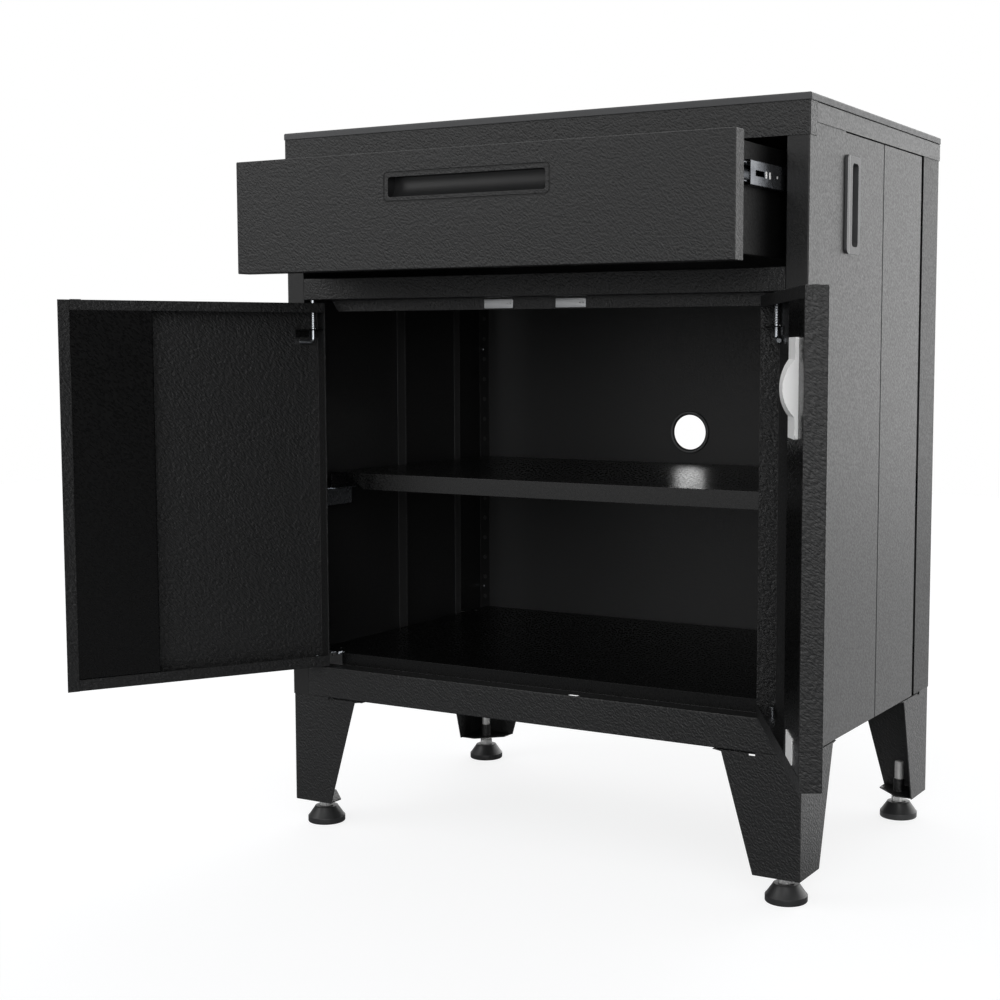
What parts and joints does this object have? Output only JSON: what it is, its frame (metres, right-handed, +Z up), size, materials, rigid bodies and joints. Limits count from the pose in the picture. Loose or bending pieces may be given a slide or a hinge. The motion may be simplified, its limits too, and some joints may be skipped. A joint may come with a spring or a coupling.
{
  "type": "garage storage cabinet",
  "caption": "Steel base cabinet with a drawer on ball slides above hinged doors, a shelf inside, and tapered legs on levelling feet.",
  "frame": {"origin": "on the floor, under the middle of the carcass", "axes": "+X to the cabinet's right seen from the front, +Y to its back, +Z up"},
  "size_m": [0.9576, 0.7413, 0.893],
  "materials": {
    "black_powder_coat": "black powder coat with a fine wrinkle",
    "smooth_black_top": "smooth satin black paint",
    "zinc_plate": "bright zinc plate",
    "catch_plate": "dull nickel plate",
    "spring_steel": "zinc-plated spring wire",
    "black_plastic": "satin black moulding",
    "white_plastic": "plain white moulding"
  },
  "bodies": {
    "cabinet": {"top_panel": "smooth_black_top", "front_top_rail": "black_powder_coat", "top_skirts": "black_powder_coat", "side_front_left": "black_powder_coat", "side_front_right": "black_powder_coat", "side_rear_left": "black_powder_coat", "side_rear_right": "black_powder_coat", "rear_post_left": "black_powder_coat", "rear_post_right": "black_powder_coat", "back_panel": "black_powder_coat", "cable_grommet": "black_plastic", "mid_rail": "black_powder_coat", "catch_magnets": "catch_plate", "bottom_rail": "black_powder_coat", "floor_panel": "black_powder_coat", "side_grip_left": "black_powder_coat", "side_grip_right": "black_powder_coat", "slide_supports": "black_powder_coat", "slide_outers": "zinc_plate", "shelf": "black_powder_coat", "shelf_clips": "zinc_plate", "leg_front_left": "black_powder_coat", "leg_front_right": "black_powder_coat", "leg_rear_left": "black_powder_coat", "leg_rear_right": "black_powder_coat", "case_fasteners": "zinc_plate", "bottom_hinge_pins": "zinc_plate"},
    "drawer": {"drawer_tray": "black_powder_coat", "drawer_back": "black_powder_coat", "drawer_front_wall": "black_powder_coat", "drawer_front": "black_powder_coat", "drawer_pull_cup": "black_powder_coat", "drawer_screws": "zinc_plate", "slide_inners": "zinc_plate"},
    "slide_middles": {"slide_middles": "zinc_plate", "ball_cages": "zinc_plate"},
    "left_door": {"door_skin_left": "black_powder_coat", "door_stiffener_left": "black_powder_coat", "door_pull_cup_left": "black_powder_coat", "hinge_tab_left": "black_powder_coat", "door_buffer_left": "black_plastic"},
    "right_door": {"door_skin_right": "black_powder_coat", "door_stiffener_right": "black_powder_coat", "door_pull_cup_right": "black_powder_coat", "hinge_tab_right": "black_powder_coat", "door_buffer_right": "black_plastic", "pull_backing": "white_plastic", "stiffener_pad": "white_plastic"},
    "left_pin": {"hinge_pin_left": "zinc_plate", "hinge_spring_left": "spring_steel"},
    "right_pin": {"hinge_pin_right": "zinc_plate", "hinge_spring_right": "spring_steel"},
    "foot_front_left": {"foot_pad_front_left": "black_plastic", "foot_stud_front_left": "zinc_plate"},
    "foot_front_right": {"foot_pad_front_right": "black_plastic", "foot_stud_front_right": "zinc_plate"},
    "foot_rear_left": {"foot_pad_rear_left": "black_plastic", "foot_stud_rear_left": "zinc_plate"},
    "foot_rear_right": {"foot_pad_rear_right": "black_plastic", "foot_stud_rear_right": "zinc_plate"}
  },
  "joints": [
    {"name": "drawer_slide", "type": "slide", "parent": "cabinet", "child": "drawer", "axis": [0, -1, 0], "range_m": [-0.1275, 0.2025]},
    {"name": "middles_slide", "type": "slide", "parent": "cabinet", "child": "slide_middles", "axis": [0, -1, 0], "range_m": [-0.1116, 0.1772]},
    {"name": "left_door_hinge", "type": "hinge", "parent": "cabinet", "child": "left_door", "pos_m": [-0.31675, -0.2224, 0.214], "axis": [0, 0, 1], "range_deg": [0, 120]},
    {"name": "right_door_hinge", "type": "hinge", "parent": "cabinet", "child": "right_door", "pos_m": [0.31675, -0.2224, 0.214], "axis": [0, 0, -1], "range_deg": [0, 120]},
    {"name": "left_pin_release", "type": "slide", "parent": "left_door", "child": "left_pin", "axis": [0, 0, -1], "range_m": [0, 0.01], "stiffness_N_per_m": 400, "springref_m": -0.01, "deforming": ["hinge_spring_left"]},
    {"name": "right_pin_release", "type": "slide", "parent": "right_door", "child": "right_pin", "axis": [0, 0, -1], "range_m": [0, 0.01], "stiffness_N_per_m": 400, "springref_m": -0.01, "deforming": ["hinge_spring_right"]},
    {"name": "foot_front_left_height", "type": "slide", "parent": "cabinet", "child": "foot_front_left", "axis": [0, 0, -1], "range_m": [0, 0.015]},
    {"name": "foot_front_right_height", "type": "slide", "parent": "cabinet", "child": "foot_front_right", "axis": [0, 0, -1], "range_m": [0, 0.015]},
    {"name": "foot_rear_left_height", "type": "slide", "parent": "cabinet", "child": "foot_rear_left", "axis": [0, 0, -1], "range_m": [0, 0.015]},
    {"name": "foot_rear_right_height", "type": "slide", "parent": "cabinet", "child": "foot_rear_right", "axis": [0, 0, -1], "range_m": [0, 0.015]}
  ],
  "couplings": [
    {"joint": "middles_slide", "follows": "drawer_slide", "ratio": 0.875}
  ]
}
